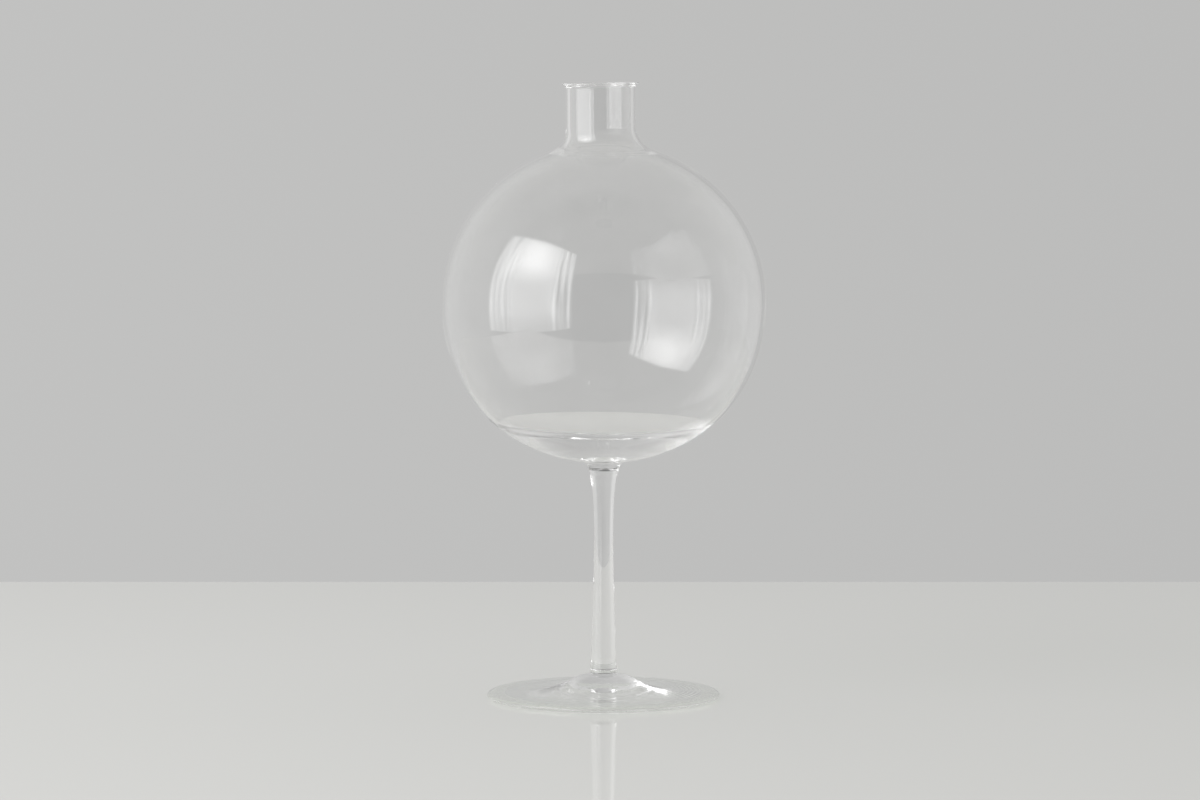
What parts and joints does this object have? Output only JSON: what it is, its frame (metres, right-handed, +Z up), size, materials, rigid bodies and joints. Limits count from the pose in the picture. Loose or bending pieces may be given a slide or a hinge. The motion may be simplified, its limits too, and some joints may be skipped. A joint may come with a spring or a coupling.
{
  "type": "stemmed globe vase",
  "caption": "Clear glass globe vase with a short flared neck, a solid drawn stem between two buttons and a thin round foot.",
  "frame": {"origin": "centre of the foot's resting ring, on the surface that the vase stands on", "axes": "+Z up along the axis that every piece is turned about, from foot to lip"},
  "size_m": [0.1498, 0.1498, 0.2856],
  "materials": {
    "clear_glass": "fire-polished, colourless"
  },
  "bodies": {
    "root": {"neck_tube": "clear_glass", "neck_collar": "clear_glass", "globe": "clear_glass", "upper_button": "clear_glass", "stem": "clear_glass", "lower_button": "clear_glass", "foot": "clear_glass"}
  },
  "joints": []
}
